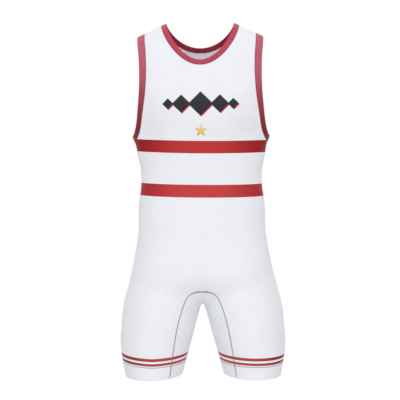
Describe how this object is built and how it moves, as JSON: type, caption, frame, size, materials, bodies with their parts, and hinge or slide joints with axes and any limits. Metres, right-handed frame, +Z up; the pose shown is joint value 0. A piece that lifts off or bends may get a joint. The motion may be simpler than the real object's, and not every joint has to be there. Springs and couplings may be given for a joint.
{
  "type": "wrestling singlet",
  "caption": "Sleeveless one-piece wrestling singlet with short legs, hollow as worn: front and back panels, an inner-leg panel, and bindings round the neck and armholes.",
  "frame": {"origin": "where the wearer's shoulders hold the garment: on the body's centre plane, level with the highest points of the shoulder ridges beside the neck", "axes": "+Z up along the body, -Y to the front of the garment, +X to the wearer's left"},
  "size_m": [0.3968, 0.2263, 0.8402],
  "materials": {
    "white_knit": "smooth stretch knit with a faint sheen, printed with red bands round the chest, the waist and the legs",
    "red_binding": "satin stretch binding, folded over the edge"
  },
  "bodies": {
    "root": {"front_panel": "white_knit", "back_panel": "white_knit", "inner_leg_panel": "white_knit", "neck_binding": "red_binding", "armhole_binding_left": "red_binding", "armhole_binding_right": "red_binding"}
  },
  "joints": []
}
